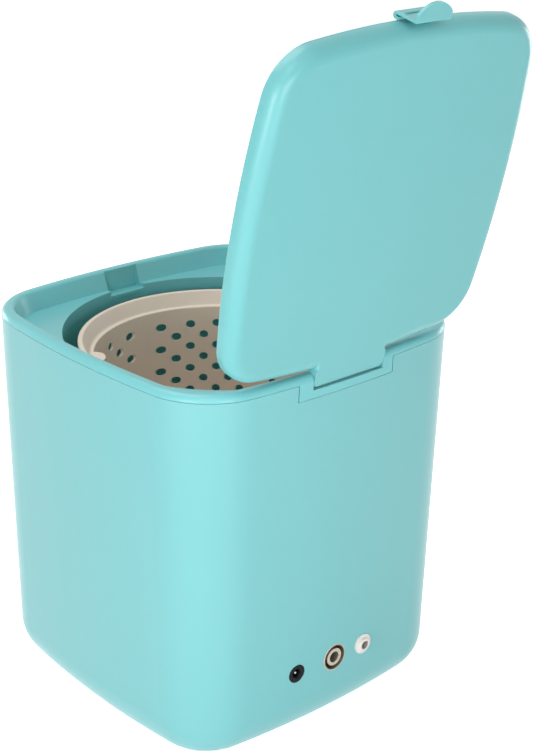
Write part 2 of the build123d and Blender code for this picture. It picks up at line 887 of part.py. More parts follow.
def shaft_seal():
    """Rubber lip seal above the upper bearing."""
    low = upper_bearing_bottom() + bearing_width
    seal = ring_z(bearing_radius, shaft_radius + running_gap, low, low + seal_width)
    return seal - ring_z(bearing_radius - seal_lip_wall, shaft_radius + seal_lip_wall,
                         low + seal_cup_floor, low + seal_width + 1)


def drive_shaft():
    """Vertical steel shaft that carries basket and pulley."""
    shaft = rod_z(shaft_radius, shaft_bottom, shaft_top)
    return shaft + rod_z(shaft_stub_radius, shaft_top, shaft_top + shaft_stub_length)


def drive_hub():
    """Flanged hub on the shaft, under the basket's floor."""
    hub = rod_z(hub_flange_radius, hub_bottom, hub_bottom + hub_flange)
    hub += rod_z(hub_collar_radius, hub_bottom, hub_top)
    return hub - rod_z(shaft_radius + fit_gap, hub_bottom - 1, hub_top + 1)


def basket_nut():
    """Round cap nut that clamps the basket down."""
    low = shaft_top
    nut = rod_z(nut_radius, low, low + nut_length)
    nut = fillet(level_edges(nut, low + nut_length), nut_rounding)
    nut -= rod_z(shaft_stub_radius + fit_gap, low - 1, low + shaft_stub_length + seam_gap)
    for angle in around(nut_notches):
        x, y = polar(nut_radius + nut_notch_offset, angle)
        nut -= rod_z(nut_notch_radius, low - 1, low + nut_length + 1, x, y)
    return nut


def basket_section():
    """Half section of the basket as a face on XZ."""
    floor_low = hub_bottom + hub_flange
    floor_top = floor_low + basket_floor
    cap_low = hub_top
    cap_top = hub_top + basket_floor
    hole = shaft_radius + slip_gap
    skin = basket_wall
    rim_low = basket_rim_height - basket_rim_drop
    rim_edge = basket_rim_radius + basket_rim_over
    ledge_edge = ledge_radius + ledge_overhang
    corners_and_roundings = [
        (hole, cap_low, fine_rounding),
        (cone_top_radius - skin, cap_low, cone_top_rounding / 2),
        (cone_radius - skin, floor_low, cone_rounding / 2),
        (basket_bottom_radius + skin, floor_low, basket_foot_rounding),
        (basket_top_radius + skin, ledge_height - collar_root_drop, collar_root_rounding),
        (basket_rim_radius - basket_rim_under, rim_low, fine_rounding),
        (rim_edge, rim_low, 2 * fine_rounding),
        (rim_edge, basket_rim_height, basket_rim_rounding),
        (basket_rim_radius - basket_rim_inside, basket_rim_height, basket_rim_rounding),
        (ledge_edge, ledge_height, ledge_rounding),
        (basket_top_radius, ledge_height, basket_mouth_rounding),
        (basket_bottom_radius, floor_top, basket_inner_rounding),
        (cone_radius, floor_top, cone_rounding),
        (cone_top_radius, cap_top, cone_top_rounding),
        (hole, cap_top, fine_rounding),
    ]
    points = [(x, 0, z) for x, z, rounding in corners_and_roundings]
    radii = [rounding for x, z, rounding in corners_and_roundings]
    return make_face(FilletPolyline(*points, radius=radii, close=True).edges())


def wall_holes():
    """The holes in the basket's wall: parallel columns in each moulded sector."""
    drills = []
    radius = hole_diameter / 2
    for sector in around(sector_count, first_sector):
        for column in range(-hole_columns, hole_columns + 1):
            offset = column * hole_pitch
            drop = 0.0 if (hole_columns - column) % 2 == 0 else hole_row_pitch / 2
            for row in range(hole_rows):
                z = hole_top_height - drop - row * hole_row_pitch
                reach = math.sqrt(basket_top_radius**2 - offset**2)
                drill = rod_x(radius, reach - hole_reach, reach + hole_reach, offset, z)
                drills.append(Rot(0, 0, sector) * drill)
    return drills


def floor_holes():
    """Rings of drain holes in the basket's floor."""
    drills = []
    radius = hole_diameter / 2
    low = hub_bottom + hub_flange
    for ring in floor_ring_radii:
        count = sector_count * int(2 * math.pi * ring / floor_ring_pitch / sector_count)
        for angle in around(count, first_vane() + 180.0 / count):
            x, y = polar(ring, angle)
            drills.append(rod_z(radius, low - 1, low + basket_floor + 1, x, y))
    return drills


def first_vane():
    """The direction of the first vane, halfway between two tabs."""
    return first_sector + 180.0 / sector_count


def spin_basket():
    """Perforated basket with flared collar, inward tabs and low floor vanes."""
    basket = revolve(basket_section(), Axis.Z, 360)
    floor_top = hub_bottom + hub_flange + basket_floor
    for angle in around(sector_count, first_vane()):
        vane = block(vane_start, vane_end, -vane_width / 2, vane_width / 2,
                     floor_top - slip_gap, floor_top + vane_height)
        vane = fillet(level_edges(vane, floor_top + vane_height), vane_width / 2 - vane_flat)
        basket += Rot(0, 0, angle) * vane
    for angle in around(sector_count, first_sector):
        reach = ledge_radius - tab_reach
        plate = RectangleRounded(tab_reach + tab_root, tab_width, tab_corner)
        place = Pos(reach + (tab_reach + tab_root) / 2, 0, ledge_height - tab_thickness)
        tab = extrude(place * plate, amount=tab_thickness)
        tab &= rod_z(basket_top_radius + basket_wall / 2, ledge_height - 10, ledge_height + 10)
        basket += Rot(0, 0, angle) * tab
    return basket - wall_holes() - floor_holes()


def pulley(x, y, radius, bore, hub_radius, hub_length):
    """A grooved belt pulley with a hub on top."""
    wheel = rod_z(radius, pulley_bottom, pulley_top, x, y)
    groove_low = pulley_bottom + pulley_flange
    groove_high = pulley_top - pulley_flange
    wheel -= ring_z(radius + 1, radius - pulley_groove, groove_low, groove_high, x, y)
    wheel += rod_z(hub_radius, pulley_bottom, pulley_bottom + hub_length, x, y)
    return wheel - rod_z(bore, pulley_bottom - 1, pulley_bottom + hub_length + 1, x, y)


def driven_pulley():
    """Large pulley at the foot of the drive shaft."""
    wheel = pulley(0, 0, pulley_radius, shaft_radius + fit_gap, pulley_hub_radius,
                   pulley_hub_length)
    for angle in around(pulley_holes):
        x, y = polar(pulley_hole_place, angle)
        wheel -= rod_z(pulley_hole_radius, pulley_bottom - 1, pulley_top + 1, x, y)
    return wheel


def pulley_nut():
    """Hexagon nut under the large pulley."""
    face = RegularPolygon(shaft_radius + pulley_nut_wall, 6)
    low = shaft_bottom + shaft_proud
    nut = extrude(Pos(0, 0, low) * face, amount=pulley_bottom - low)
    return nut - rod_z(shaft_radius + fit_gap, shaft_bottom - 1, pulley_bottom + 1)


def belt_loop(extra):
    """Outline of the belt about both pulleys, grown outward."""
    big = belt_inner + extra
    small = motor_belt_inner + extra
    lean = math.acos((big - small) / belt_centres)
    heading = math.radians(motor_direction)
    edges = []
    ends = []
    for side in (1, -1):
        angle = heading + side * lean
        start = (big * math.cos(angle), big * math.sin(angle))
        end = (motor_x + small * math.cos(angle), motor_y + small * math.sin(angle))
        edges.append(Line(start, end))
        ends.append((start, end))
    back = (-big * math.cos(heading), -big * math.sin(heading))
    nose = (motor_x + small * math.cos(heading), motor_y + small * math.sin(heading))
    edges.append(ThreePointArc(ends[0][0], back, ends[1][0]))
    edges.append(ThreePointArc(ends[0][1], nose, ends[1][1]))
    return make_face(edges)


def drive_belt():
    """Flat rubber belt between the two pulleys."""
    outer = extrude(Pos(0, 0, belt_bottom) * belt_loop(belt_thickness), amount=belt_width)
    inner = extrude(Pos(0, 0, belt_bottom - 1) * belt_loop(0), amount=belt_width + 2)
    return outer - inner


def motor_bracket():
    """Plate under the housing that carries the motor."""
    plate = rod_z(bracket_radius, bracket_bottom, bracket_top)
    plate += rod_z(bracket_motor_radius, bracket_bottom, bracket_top, motor_x, motor_y)
    arm = block(0, belt_centres, -bracket_arm_half, bracket_arm_half, bracket_bottom, bracket_top)
    plate += Rot(0, 0, motor_direction) * arm
    plate -= rod_z(bracket_hole, bracket_bottom - 1, bracket_top + 1)
    plate -= rod_z(motor_boss_radius + slip_gap, bracket_bottom - 1, bracket_top + 1, motor_x,
                   motor_y)
    for x, y in bracket_post_places() + motor_screw_places():
        plate -= flush_sink(x, y, bracket_bottom, bracket_thickness)
    return plate


def motor_screw_places():
    """The two screws either side of the motor's shaft."""
    across_x, across_y = polar((motor_boss_radius + motor_radius) / 2, motor_direction + 90)
    return [(motor_x + side * across_x, motor_y + side * across_y) for side in (-1, 1)]


def bracket_posts():
    """Three spacers between bracket and bearing housing, with spigots in its flange."""
    spacers = []
    for x, y in bracket_post_places():
        post = rod_z(post_radius, bracket_top, flange_bottom, x, y)
        post -= rod_z(pilot_hole, bracket_top - 1, bracket_top + thread_length, x, y)
        post += rod_z(screw_radius, flange_bottom - 1, flange_bottom + post_spigot, x, y)
        spacers.append(post)
    return Compound(children=spacers)


def bracket_screws():
    """Three countersunk screws up into the spacers."""
    length = bracket_thickness + thread_length - 1
    return Compound(children=[
        flush_screw(x, y, bracket_bottom, length) for x, y in bracket_post_places()])


def motor_screws():
    """Two countersunk screws that hold the motor."""
    length = bracket_thickness + motor_wall
    return Compound(children=[
        flush_screw(x, y, bracket_bottom, length) for x, y in motor_screw_places()])


def motor_can():
    """Steel can of the motor, open at the top."""
    can = rod_z(motor_radius, bracket_top, motor_top - motor_cap, motor_x, motor_y)
    can -= rod_z(motor_radius - motor_wall, bracket_top + motor_wall, motor_top, motor_x, motor_y)
    can += rod_z(motor_boss_radius, bracket_top - motor_boss, bracket_top + motor_wall, motor_x,
                 motor_y)
    can -= rod_z(motor_shaft_radius + running_gap, 0, motor_top, motor_x, motor_y)
    for x, y in motor_screw_places():
        can -= rod_z(pilot_hole, bracket_top - 1, bracket_top + motor_wall + 1, x, y)
    return can


def motor_end_cap():
    """Plastic end cap with the brush terminals."""
    low = motor_top - motor_cap
    cap = rod_z(motor_radius, low, motor_top, motor_x, motor_y)
    cap -= rod_z(motor_shaft_radius + running_gap, low - 1, motor_top - motor_cap_skin, motor_x,
                 motor_y)
    wide = terminal_width / 2
    thick = terminal_thickness / 2
    for side in (-1, 1):
        x = motor_x + side * terminal_place
        cap += block(x - wide, x + wide, motor_y - thick, motor_y + thick, motor_top - 1,
                     motor_top + terminal_height)
    return cap


def motor_shaft():
    """The motor's own shaft."""
    top = motor_top - motor_cap_skin - motor_shaft_end_gap
    return rod_z(motor_shaft_radius, pulley_bottom, top, motor_x, motor_y)


def motor_armature():
    """Wound armature on the motor shaft, inside the can."""
    middle = (bracket_top + motor_wall + motor_top - motor_cap) / 2
    low = middle - armature_length / 2
    high = middle + armature_length / 2
    core = ring_z(armature_radius, motor_shaft_radius + fit_gap, low, high, motor_x, motor_y)
    for angle in around(armature_slots):
        x, y = polar(armature_radius, angle)
        core -= rod_z(armature_slot_radius, low - 1, high + 1, motor_x + x, motor_y + y)
    return core


def motor_pulley():
    """Small pulley on the motor shaft."""
    bore = motor_shaft_radius + fit_gap
    return pulley(motor_x, motor_y, motor_pulley_radius, bore, motor_pulley_radius / 2,
                  pulley_width)


def control_board():
    """Control board behind the front wall, with its larger parts."""
    front = board_face_y()
    back = front + board_thickness
    low = button_height - board_height / 2
    high = button_height + board_height / 2
    board = block(-board_width / 2, board_width / 2, front, back, low, high)
    relay_low = low + board_part_margin
    board += block(relay_x - relay_width / 2, relay_x + relay_width / 2, back, back + relay_depth,
                   relay_low, relay_low + relay_height)
    board += rod_y(capacitor_radius, back, back + capacitor_length, capacitor_x, low + capacitor_z)
    chip_high = high - board_part_margin
    board += block(chip_x - chip_width / 2, chip_x + chip_width / 2, back, back + chip_depth,
                   chip_high - chip_height, chip_high)
    for x in (-board_screw_place, board_screw_place):
        board -= rod_y(screw_hole, front - 1, back + 1, x, button_height)
    return board


def board_screws():
    """Two screws that hold the control board."""
    back = board_face_y() + board_thickness
    screws = []
    for x in (-board_screw_place, board_screw_place):
        length = board_thickness + board_gap - wall
        shank = rod_y(screw_radius, back - length, back, x, button_height)
        screws.append(shank + rod_y(screw_head_radius, back, back + screw_head, x, button_height))
    return Compound(children=screws)


def switch_front_y():
    """Where the tip of the switch's plunger lies."""
    return board_face_y() - switch_height - switch_tip


def button_switch():
    """Push switch on the board, behind the button."""
    front = board_face_y()
    half = switch_size / 2
    body = block(-half, half, front - switch_height, front, button_height - half,
                 button_height + half)
    return body + rod_y(switch_tip_radius, switch_front_y(), front, 0, button_height)


def button_ring():
    """Translucent ring round the button."""
    front = -casing_y(0, button_height)
    inside = -casing_y(ring_radius, button_height, wall)
    ring = rod_y(ring_radius, front - ring_proud, inside + seam_gap, 0, button_height)
    ring += rod_y(ring_flange_radius, inside + seam_gap, inside + seam_gap + ring_flange, 0,
                  button_height)
    return ring - rod_y(button_radius + moving_gap, front - 5, inside + 5, 0, button_height)


def power_button():
    """Round push button."""
    front = -casing_y(0, button_height) - button_proud
    inside = -casing_y(ring_radius, button_height, wall) + seam_gap + ring_flange + moving_gap
    cap = rod_y(button_radius, front, inside + button_flange, 0, button_height)
    face = [e for e in cap.edges() if e.bounding_box().max.Y < front + 0.01]
    cap = fillet(face, button_rounding)
    cap += rod_y(button_flange_radius, inside, inside + button_flange, 0, button_height)
    post_end = switch_front_y() - button_travel - moving_gap
    return cap + rod_y(button_post_radius, inside, post_end, 0, button_height)


def dc_jack():
    """Black low-voltage socket."""
    seat = port_seat_y(jack_x)
    face = seat + port_seat + port_proud
    body = rod_y(jack_flange_radius, seat, face, jack_x, port_height)
    edge = [e for e in body.edges() if e.bounding_box().min.Y > face - 0.01]
    body = fillet(edge, port_rounding)
    body += rod_y(jack_radius, seat - jack_length, seat + 0.1, jack_x, port_height)
    body -= rod_y(jack_bore_radius, face - jack_bore_depth, face + 1, jack_x, port_height)
    mouth = Cone(jack_bore_radius, jack_bore_radius + jack_chamfer, jack_chamfer)
    body -= Pos(jack_x, face - jack_chamfer / 2, port_height) * Rot(-90, 0, 0) * mouth
    return body - rod_y(jack_pin_radius + fit_gap, seat - jack_length - 1, face, jack_x, port_height)


def dc_jack_pin():
    """Centre contact of the socket, with its tail."""
    seat = port_seat_y(jack_x)
    face = seat + port_seat + port_proud
    tip_y = face - jack_pin_set_back
    pin = rod_y(jack_pin_radius, seat - jack_length - jack_tail, tip_y, jack_x, port_height)
    tip = [e for e in pin.edges() if e.bounding_box().min.Y > tip_y - 0.01]
    return fillet(tip, jack_pin_rounding)


def port_nut(x, radius, flange_radius):
    """Round retaining nut behind the rear wall."""
    back = port_inner_y(x)
    outer = flange_radius + port_nut_width - port_nut_step
    nut = rod_y(outer, back - port_nut_length, back, x, port_height)
    return nut - rod_y(radius + fit_gap, back - port_nut_length - 1, back + 1, x, port_height)


def drain_outlet():
    """Drain port: a hose tube inside a ring, and a barb inside the casing."""
    seat = port_seat_y(drain_x)
    face = seat + port_seat + port_proud
    back = port_back_y(drain_x)
    body = rod_y(drain_flange_radius, seat, face, drain_x, port_height)
    edge = [e for e in body.edges() if e.bounding_box().min.Y > face - 0.01]
    body = fillet(edge, port_rounding)
    body += rod_y(drain_radius, back, seat + 0.1, drain_x, port_height)
    floor = face - drain_recess_depth
    recess = rod_y(drain_recess_radius, floor, face + 1, drain_x, port_height)
    recess -= rod_y(drain_tube_radius, floor - 1, face - port_rounding, drain_x, port_height)
    body -= recess
    body += rod_y(drain_barb_radius, back - barb_length, back + 1, drain_x, port_height)
    return body - rod_y(drain_bore_radius, back - barb_length - 1, face + 1, drain_x, port_height)


def inlet_fitting():
    """White push-in water inlet with a barb inside the casing."""
    seat = port_seat_y(inlet_x)
    face = seat + port_seat + inlet_proud
    nose = seat + port_seat + inlet_nozzle
    back = port_back_y(inlet_x)
    body = rod_y(inlet_flange_radius, seat, face, inlet_x, port_height)
    body += rod_y(inlet_nozzle_radius, seat, nose, inlet_x, port_height)
    edge = [e for e in body.edges() if e.bounding_box().min.Y > nose - 0.01]
    body = fillet(edge, inlet_rounding)
    body += rod_y(inlet_radius, back, seat + 0.1, inlet_x, port_height)
    body += rod_y(inlet_barb_radius, back - inlet_barb_length, back + 1, inlet_x, port_height)
    return body - rod_y(inlet_bore_radius, back - inlet_barb_length - 1, nose + 1, inlet_x,
                        port_height)


def tube(points, bend, outer, inner=None):
    """A round hose or lead along straight runs joined by arcs."""
    path = FilletPolyline(*points, radius=bend)
    start = Plane(origin=path @ 0, z_dir=path % 0)
    body = sweep(start * Circle(outer), path=path)
    if inner:
        body -= sweep(start * Circle(inner), path=path)
    return body


def drain_hose():
    """Hose from the tub's spout to the drain port."""
    back = port_back_y(drain_x)
    start = tub_floor_height - slip_gap
    points = [
        (drain_x, drain_spout_y, start),
        (drain_x, drain_spout_y, port_height),
        (drain_x, back - slip_gap, port_height),
    ]
    inner = drain_barb_radius + fit_gap
    return tube(points, hose_bend, inner + hose_wall, inner)


def inlet_hose():
    """Hose from the inlet up the rear corner to the tub's nipple."""
    back = port_back_y(inlet_x)
    place = inlet_hose_place * math.sqrt(0.5)
    nipple = (tub_opening_radius + tub_wall + hose_end_gap) * math.sqrt(0.5)
    points = [
        (inlet_x, back - slip_gap, port_height),
        (inlet_x, place, port_height),
        (-place, place, port_height),
        (-place, place, inlet_nipple_height),
        (-nipple, nipple, inlet_nipple_height),
    ]
    inner = inlet_barb_radius + fit_gap
    return tube(points, inlet_hose_bend, inner + hose_wall, inner)


def jack_lead():
    """Lead from the socket round the machinery to the control board."""
    start = port_seat_y(jack_x) - jack_length - jack_tail - fit_gap
    end = board_face_y() + board_thickness + fit_gap
    points = [
        (jack_x, start, port_height),
        (jack_x, start - 12, port_height),
        (78, 50, 40),
        (78, -40, 40),
        (16, end + 14, button_height + 4),
        (16, end, button_height + 4),
    ]
    return tube(points, jack_lead_bend, lead_radius)


def motor_lead():
    """Lead from the control board to the motor's terminal."""
    end = board_face_y() + board_thickness + fit_gap
    height_above = motor_top + terminal_height + lead_radius + fit_gap
    x = motor_x + terminal_place
    points = [
        (-13, end, button_height + 7),
        (-13, end + 14, button_height + 7),
        (x, motor_y - 14, height_above),
        (x, motor_y + 1, height_above),
    ]
    return tube(points, motor_lead_bend, lead_radius)


front = -1
rear = 1
parts = {
    "outer_shell": outer_shell(),
    "base_cover": base_cover(),
    "base_screws": base_screws(),
    "foot_front_left": foot(-foot_place, front * foot_place),
    "foot_front_right": foot(foot_place, front * foot_place),
    "foot_rear_left": foot(-foot_place, rear * foot_place),
    "foot_rear_right": foot(foot_place, rear * foot_place),
    "top_frame": top_frame(),
    "hinge_pin": hinge_pin(),
    "lid_cover": lid_turned(lid_cover()),
    "lid_liner": lid_turned(lid_liner()),
    "lid_screws": lid_turned(lid_screws()),
    "lid_latch": lid_turned(lid_latch()),
    "wash_tub": wash_tub(),
    "tub_gasket": tub_gasket(),
    "tub_screws": tub_screws(),
    "bearing_housing": bearing_housing(),
    "housing_screws": housing_screws(),
    "upper_bearing": bearing(upper_bearing_bottom()),
    "lower_bearing": bearing(housing_bottom),
    "shaft_seal": shaft_seal(),
    "drive_shaft": drive_shaft(),
    "drive_hub": drive_hub(),
    "basket_nut": basket_nut(),
    "spin_basket": spin_basket(),
    "driven_pulley": driven_pulley(),
    "pulley_nut": pulley_nut(),
    "drive_belt": drive_belt(),
    "motor_bracket": motor_bracket(),
    "bracket_posts": bracket_posts(),
    "bracket_screws": bracket_screws(),
    "motor_screws": motor_screws(),
    "motor_can": motor_can(),
    "motor_end_cap": motor_end_cap(),
    "motor_shaft": motor_shaft(),
    "motor_armature": motor_armature(),
    "motor_pulley": motor_pulley(),
    "control_board": control_board(),
    "board_screws": board_screws(),
    "button_switch": button_switch(),
    "button_ring": button_ring(),
    "power_button": power_button(),
    "dc_jack": dc_jack(),
    "dc_jack_pin": dc_jack_pin(),
    "dc_jack_nut": port_nut(jack_x, jack_radius, jack_flange_radius),
    "drain_outlet": drain_outlet(),
    "drain_nut": port_nut(drain_x, drain_radius, drain_flange_radius),
    "drain_hose": drain_hose(),
    "inlet_fitting": inlet_fitting(),
    "inlet_nut": port_nut(inlet_x, inlet_radius, inlet_flange_radius),
    "inlet_hose": inlet_hose(),
    "jack_lead": jack_lead(),
    "motor_lead": motor_lead(),
}

os.makedirs("parts", exist_ok=True)
for node, shape in parts.items():
    export_step(shape, f"parts/{node}.step")
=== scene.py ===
import math

import bmesh
import bpy
from mathutils import Matrix, Vector


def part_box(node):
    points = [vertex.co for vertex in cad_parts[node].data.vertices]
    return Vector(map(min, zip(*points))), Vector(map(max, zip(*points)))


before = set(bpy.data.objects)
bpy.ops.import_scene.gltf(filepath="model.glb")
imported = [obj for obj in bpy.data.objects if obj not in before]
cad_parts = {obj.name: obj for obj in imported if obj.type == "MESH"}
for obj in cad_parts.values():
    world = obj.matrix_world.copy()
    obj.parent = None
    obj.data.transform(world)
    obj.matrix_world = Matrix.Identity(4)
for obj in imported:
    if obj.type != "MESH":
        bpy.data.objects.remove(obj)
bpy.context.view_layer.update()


# The camera stands behind the machine and to its right, above it, as in the photograph.
# Its lens, place and turn were fitted to the picture. It is turned off the machine's
# middle, as in the picture, so the lens has no shift.
lens_mm = 78.64
around = math.radians(139.93)
above = math.radians(26.296)
distance = 1.1222
aimed_at = Vector((0, 0, 0.13))
picture_middle_left = 44.553
picture_middle_up = 113.745
lens_pixels = 1640.6
lean_angle = math.radians(0.304)
camera_data = bpy.data.cameras.new("camera")
camera_data.sensor_width = 36
camera_data.lens = lens_mm
camera_data.clip_start = 0.01
camera_data.clip_end = 20
camera = bpy.data.objects.new("camera", camera_data)
bpy.context.scene.collection.objects.link(camera)
bpy.context.scene.camera = camera
away = Vector((math.sin(around) * math.cos(above), -math.cos(around) * math.cos(above),
               math.sin(above)))
camera_right = (-away).cross(Vector((0, 0, 1))).normalized()
camera_up = camera_right.cross(-away)
aim = Matrix((camera_right, camera_up, away)).transposed()
turn = Matrix.Rotation(math.atan2(-picture_middle_left, lens_pixels), 3, "Y")
tip = Matrix.Rotation(math.atan2(picture_middle_up, lens_pixels), 3, "X")
lean = Matrix.Rotation(lean_angle, 3, "Z")
place = aimed_at + away * distance
camera.matrix_world = Matrix.Translation(place) @ (aim @ turn @ tip @ lean).to_4x4()


# The outer shell is one injection moulding of turquoise ABS, open at the top, with a
# polished skin. Its top edge butts against the frame and leaves a fine dark seam.
def screen_colour(red, green, blue):
    """A colour given from 0 to 255 as a screen shows it, as the shader's linear values."""
    shares = [value / 255 for value in (red, green, blue)]
    return [s / 12.92 if s < 0.04 else ((s + 0.055) / 1.055) ** 2.4 for s in shares] + [1]


def new_effect(name, inputs, outputs):
    """An empty node group with named number inputs and outputs."""
    group = bpy.data.node_groups.new(name, "ShaderNodeTree")
    for label, value in inputs.items():
        socket = group.interface.new_socket(label, in_out="INPUT", socket_type="NodeSocketFloat")
        socket.default_value = value
    for label in outputs:
        group.interface.new_socket(label, in_out="OUTPUT", socket_type="NodeSocketFloat")
    return group, group.nodes.new("NodeGroupInput"), group.nodes.new("NodeGroupOutput")


def noise(tree, vector, size, detail, roughness=0.5):
    """Noise whose blotches are about that many metres across."""
    node = tree.nodes.new("ShaderNodeTexNoise")
    node.inputs["Scale"].default_value = 1 / size
    node.inputs["Detail"].default_value = detail
    node.inputs["Roughness"].default_value = roughness
    tree.links.new(vector, node.inputs["Vector"])
    return node.outputs["Fac"]


def sum_of(tree, kind, first, second, third=None, clamp=False):
    """A math node on two or three values or sockets."""
    node = tree.nodes.new("ShaderNodeMath")
    node.operation = kind
    node.use_clamp = clamp
    for index, value in enumerate((first, second, third)):
        if isinstance(value, (int, float)):
            node.inputs[index].default_value = value
        elif value is not None:
            tree.links.new(value, node.inputs[index])
    return node.outputs[0]


flow_size = 0.12
haze_size = 0.018
peel_size = 0.0016
wave_size = 0.03
wave_to_peel = 6.0
skin, _, skin_out = new_effect("moulded_skin", {}, ("Tone", "Haze", "Ripple"))
skin_place = skin.nodes.new("ShaderNodeTexCoord").outputs["Object"]
skin_flow = noise(skin, skin_place, flow_size, detail=2)
skin_haze = noise(skin, skin_place, haze_size, detail=6, roughness=0.62)
skin_peel = noise(skin, skin_place, peel_size, detail=2)
skin_wave = noise(skin, skin_place, wave_size, detail=1)
skin.links.new(skin_flow, skin_out.inputs["Tone"])
skin.links.new(skin_haze, skin_out.inputs["Haze"])
skin.links.new(sum_of(skin, "MULTIPLY_ADD", skin_wave, wave_to_peel, skin_peel),
               skin_out.inputs["Ripple"])

edge_contrast = 4.0
patch_size = 0.006
worn_roughness = 0.08
rub, rub_in, rub_out = new_effect("edge_wear", {"Width": 0.0008, "Patchiness": 0.5}, ("Edge",))
rub_round = rub.nodes.new("ShaderNodeBevel")
rub_round.samples = 4
rub.links.new(rub_in.outputs["Width"], rub_round.inputs["Radius"])
rub_dot = rub.nodes.new("ShaderNodeVectorMath")
rub_dot.operation = "DOT_PRODUCT"
rub.links.new(rub_round.outputs["Normal"], rub_dot.inputs[0])
rub.links.new(rub.nodes.new("ShaderNodeNewGeometry").outputs["Normal"], rub_dot.inputs[1])
rub_edge = sum_of(rub, "MULTIPLY", sum_of(rub, "SUBTRACT", 1.0, rub_dot.outputs["Value"]),
                  edge_contrast, clamp=True)
rub_place = rub.nodes.new("ShaderNodeTexCoord").outputs["Object"]
rub_blotch = noise(rub, rub_place, patch_size, detail=4, roughness=0.6)
rub_patch = sum_of(rub, "MULTIPLY", rub_blotch, rub_in.outputs["Patchiness"])
rub.links.new(sum_of(rub, "SUBTRACT", rub_edge, rub_patch, clamp=True), rub_out.inputs["Edge"])


def use_effect(tree, group, **values):
    """Places a node group in a material with its own values."""
    node = tree.nodes.new("ShaderNodeGroup")
    node.node_tree = group
    for label, value in values.items():
        node.inputs[label].default_value = value
    return node.outputs


def blend_colour(tree, share, first, second):
    """The first colour where share is 0, the second where it is 1."""
    node = tree.nodes.new("ShaderNodeMix")
    node.data_type = "RGBA"
    tree.links.new(share, node.inputs[0])
    for socket, colour in ((node.inputs[6], first), (node.inputs[7], second)):
        if isinstance(colour, list):
            socket.default_value = colour
        else:
            tree.links.new(colour, socket)
    return node.outputs[2]


def raise_bump(tree, shader, height, depth):
    """Feeds a height from 0 to 1 to the shader's normal, depth metres high."""
    bump = tree.nodes.new("ShaderNodeBump")
    bump.inputs["Distance"].default_value = depth
    bump.inputs["Strength"].default_value = 1
    tree.links.new(height, bump.inputs["Height"])
    tree.links.new(bump.outputs["Normal"], shader.inputs["Normal"])


def moulded(name, colour, deep, worn, gloss, haze, ripple, edge=0.0008, wear=0.5, shine=0.5):
    """Injection-moulded plastic: two near tones, hazy gloss, a rippled skin, worn edges."""
    material = bpy.data.materials.new(name)
    material.use_nodes = True
    tree = material.node_tree
    shader = tree.nodes["Principled BSDF"]
    shader.inputs["Specular IOR Level"].default_value = shine
    skin_of = use_effect(tree, skin)
    rub_of = use_effect(tree, rub, Width=edge, Patchiness=wear)
    body = blend_colour(tree, skin_of["Tone"], colour, deep)
    tree.links.new(blend_colour(tree, rub_of["Edge"], body, worn), shader.inputs["Base Color"])
    rough = sum_of(tree, "MULTIPLY_ADD", skin_of["Haze"], haze, gloss - haze / 2)
    tree.links.new(sum_of(tree, "MULTIPLY_ADD", rub_of["Edge"], worn_roughness, rough),
                   shader.inputs["Roughness"])
    raise_bump(tree, shader, skin_of["Ripple"], ripple)
    return material


def finish_node(node, material):
    """Gives a CAD node its material."""
    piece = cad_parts[node]
    if not piece.material_slots:
        piece.data.materials.append(material)
    for slot in piece.material_slots:
        slot.material = material


polished = {"gloss": 0.3, "haze": 0.06, "ripple": 0.00001, "shine": 0.4}
turquoise = screen_colour(118, 186, 188)
turquoise_deep = screen_colour(113, 182, 185)
turquoise_worn = screen_colour(139, 205, 206)
casing_plastic = moulded("casing_plastic", turquoise, turquoise_deep, turquoise_worn, **polished)
finish_node("outer_shell", casing_plastic)


# The base cover closes the shell from below. It is the same ABS as the shell, left duller,
# and four countersunk screws hold it to bosses inside.
cover_plastic = moulded("cover_plastic", screen_colour(113, 182, 184),
                        screen_colour(107, 176, 179), turquoise_worn,
                        gloss=0.42, haze=0.1, ripple=0.00002)
finish_node("base_cover", cover_plastic)


# Rubber feet, pressed into the cover's round recesses. They are soft black rubber with a
# dull skin that picks up dust.
pore_size = 0.0007
pore_depth = 0.00005
dust_size = 0.009
dust_share = 0.35
dust_roughness = 0.15
rubber_sheen = 0.07


def soft_rubber(name, colour, dusty, rough=0.75):
    """Matt rubber with pores, a trace of dust in patches and on its edges."""
    material = bpy.data.materials.new(name)
    material.use_nodes = True
    tree = material.node_tree
    shader = tree.nodes["Principled BSDF"]
    where = tree.nodes.new("ShaderNodeTexCoord").outputs["Object"]
    pores = noise(tree, where, pore_size, detail=3)
    dust = noise(tree, where, dust_size, detail=5, roughness=0.65)
    rub_of = use_effect(tree, rub, Width=0.0006, Patchiness=0.7)
    body = blend_colour(tree, sum_of(tree, "MULTIPLY", dust, dust_share), colour, dusty)
    tree.links.new(blend_colour(tree, rub_of["Edge"], body, dusty), shader.inputs["Base Color"])
    tree.links.new(sum_of(tree, "MULTIPLY_ADD", dust, dust_roughness, rough - rubber_sheen),
                   shader.inputs["Roughness"])
    raise_bump(tree, shader, pores, pore_depth)
    return material


foot_rubber = soft_rubber("foot_rubber", screen_colour(38, 38, 40), screen_colour(92, 90, 86))
for foot in ("foot_front_left", "foot_front_right", "foot_rear_left", "foot_rear_right"):
    finish_node(foot, foot_rubber)


